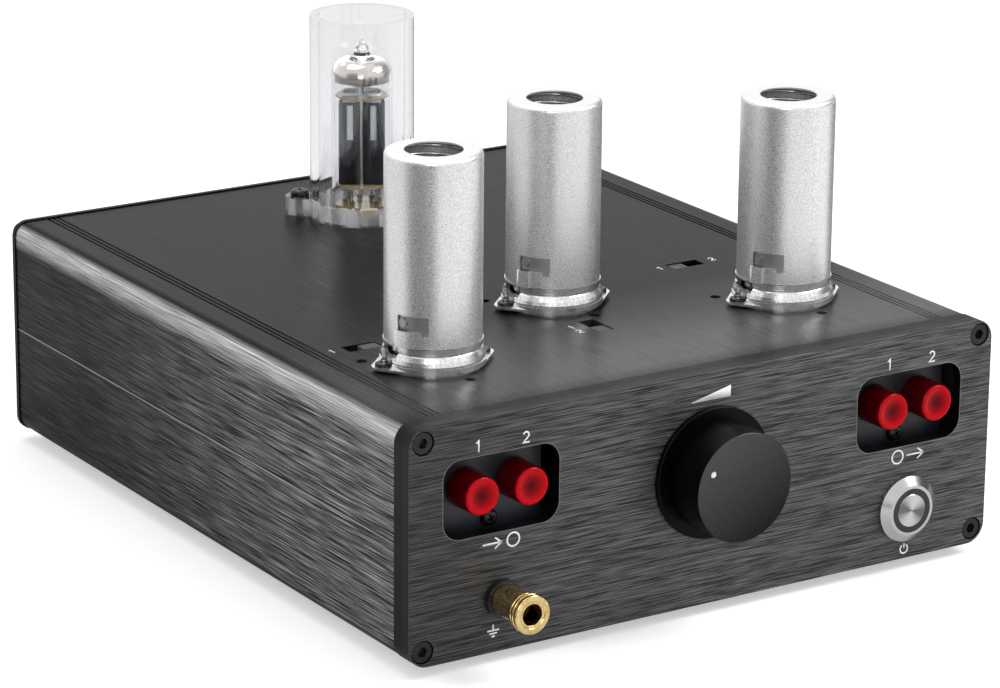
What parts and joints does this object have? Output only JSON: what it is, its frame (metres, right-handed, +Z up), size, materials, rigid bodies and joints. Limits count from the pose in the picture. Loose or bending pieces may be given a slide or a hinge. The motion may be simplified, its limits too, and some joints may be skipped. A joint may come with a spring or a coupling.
{
  "type": "phono preamp",
  "caption": "Valve phono preamplifier: flat brushed aluminium case with shielded valves, a rectifier valve in a clear cover, capped phono jacks, volume knob and power button.",
  "frame": {"origin": "on the surface that the feet stand on, under the middle of the bounding box", "axes": "+X to the right seen from the front, +Y to the back, +Z up"},
  "size_m": [0.18, 0.2328, 0.1232],
  "materials": {
    "grey_brushed": "brushed, anodised dark grey",
    "black_edge": "satin black",
    "front_brushed": "brushed, anodised dark grey",
    "black_steel": "blackened",
    "rubber": "matte",
    "board": "solder mask",
    "capacitor": "sleeve",
    "jack_plastic": "moulded",
    "nickel": "polished",
    "cap_red": "translucent",
    "knob_black": "fine turned, black anodised",
    "steel": "turned",
    "lens": "diffusing",
    "black_plastic": "moulded",
    "gold": "gold plated",
    "shield_metal": "satin",
    "ceramic": "glazed",
    "glass": "clear",
    "stem_glass": "tinted",
    "anode": "carbonised",
    "mica": "translucent",
    "acrylic": "polished",
    "spring": "bright",
    "slider": "ribbed"
  },
  "bodies": {
    "root": {"top_shell": "grey_brushed", "bottom_shell": "grey_brushed", "front_bezel": "black_edge", "front_panel": "front_brushed", "rear_panel": "front_brushed", "front_screws": "black_steel", "rear_screws": "black_steel", "rubber_feet": "rubber", "main_board": "board", "filter_capacitors": "capacitor", "phono_in_block": "jack_plastic", "line_out_block": "jack_plastic", "jack_shells": "nickel", "jack_screws": "black_steel", "pot_body": "steel", "panel_nuts": "steel", "power_switch_body": "steel", "power_light_ring": "lens", "earth_washer": "black_plastic", "earth_post": "gold", "power_inlet": "black_plastic", "socket_screws": "black_steel", "rectifier_socket": "ceramic", "tube_cover": "acrylic", "cover_screws": "black_steel", "selector_bodies": "black_plastic", "shield_base_1": "shield_metal", "valve_socket_1": "ceramic", "valve_bulb_1": "glass", "valve_core_1": "anode", "shield_base_2": "shield_metal", "valve_socket_2": "ceramic", "valve_bulb_2": "glass", "valve_core_2": "anode", "shield_base_3": "shield_metal", "valve_socket_3": "ceramic", "valve_bulb_3": "glass", "valve_core_3": "anode"},
    "volume_control": {"volume_knob": "knob_black", "knob_grub_screw": "black_steel", "pot_shaft": "steel"},
    "power_push": {"power_button": "steel"},
    "earth_nut": {"earth_thumb_nut": "gold"},
    "rectifier_valve": {"rectifier_bulb": "glass", "rectifier_stem": "stem_glass", "rectifier_electrodes": "anode", "rectifier_micas": "mica"},
    "dust_cap_1_body": {"dust_cap_1": "cap_red"},
    "dust_cap_2_body": {"dust_cap_2": "cap_red"},
    "dust_cap_3_body": {"dust_cap_3": "cap_red"},
    "dust_cap_4_body": {"dust_cap_4": "cap_red"},
    "shield_lift_1": {"shield_spring_1": "spring"},
    "shield_turn_1": {"shield_can_1": "shield_metal"},
    "shield_lift_2": {"shield_spring_2": "spring"},
    "shield_turn_2": {"shield_can_2": "shield_metal"},
    "shield_lift_3": {"shield_spring_3": "spring"},
    "shield_turn_3": {"shield_can_3": "shield_metal"},
    "selector_1": {"selector_slider_1": "slider"},
    "selector_2": {"selector_slider_2": "slider"},
    "selector_3": {"selector_slider_3": "slider"}
  },
  "joints": [
    {"name": "volume_turn", "type": "hinge", "parent": "root", "child": "volume_control", "pos_m": [0, -0.1016, 0.0387], "axis": [0, 1, 0], "range_deg": [-88, 212]},
    {"name": "power_press", "type": "slide", "parent": "root", "child": "power_push", "axis": [0, 1, 0], "range_m": [0, 0.0025], "stiffness_N_per_m": 400},
    {"name": "earth_nut_turn", "type": "hinge", "parent": "root", "child": "earth_nut", "pos_m": [-0.0632, -0.1016, 0.0172], "axis": [0, -1, 0], "range_deg": [0, 360]},
    {"name": "rectifier_pull", "type": "slide", "parent": "root", "child": "rectifier_valve", "axis": [0, 0, 1], "range_m": [0, 0.064]},
    {"name": "dust_cap_1_pull", "type": "slide", "parent": "root", "child": "dust_cap_1_body", "axis": [0, -1, 0], "range_m": [0, 0.012]},
    {"name": "dust_cap_2_pull", "type": "slide", "parent": "root", "child": "dust_cap_2_body", "axis": [0, -1, 0], "range_m": [0, 0.012]},
    {"name": "dust_cap_3_pull", "type": "slide", "parent": "root", "child": "dust_cap_3_body", "axis": [0, -1, 0], "range_m": [0, 0.012]},
    {"name": "dust_cap_4_pull", "type": "slide", "parent": "root", "child": "dust_cap_4_body", "axis": [0, -1, 0], "range_m": [0, 0.012]},
    {"name": "shield_1_lift", "type": "slide", "parent": "root", "child": "shield_lift_1", "axis": [0, 0, 1], "range_m": [0, 0.049]},
    {"name": "shield_1_turn", "type": "hinge", "parent": "shield_lift_1", "child": "shield_turn_1", "pos_m": [-0.0562, -0.0579, 0.0649], "axis": [0, 0, 1], "range_deg": [-26, 0]},
    {"name": "shield_2_lift", "type": "slide", "parent": "root", "child": "shield_lift_2", "axis": [0, 0, 1], "range_m": [0, 0.049]},
    {"name": "shield_2_turn", "type": "hinge", "parent": "shield_lift_2", "child": "shield_turn_2", "pos_m": [-0.0013, -0.0293, 0.0649], "axis": [0, 0, 1], "range_deg": [-26, 0]},
    {"name": "shield_3_lift", "type": "slide", "parent": "root", "child": "shield_lift_3", "axis": [0, 0, 1], "range_m": [0, 0.049]},
    {"name": "shield_3_turn", "type": "hinge", "parent": "shield_lift_3", "child": "shield_turn_3", "pos_m": [0.0536, -0.0579, 0.0649], "axis": [0, 0, 1], "range_deg": [-26, 0]},
    {"name": "selector_1_slide", "type": "slide", "parent": "root", "child": "selector_1", "axis": [-1, 0, 0], "range_m": [0, 0.0049]},
    {"name": "selector_2_slide", "type": "slide", "parent": "root", "child": "selector_2", "axis": [0, 1, 0], "range_m": [0, 0.0049]},
    {"name": "selector_3_slide", "type": "slide", "parent": "root", "child": "selector_3", "axis": [1, 0, 0], "range_m": [0, 0.0049]}
  ]
}
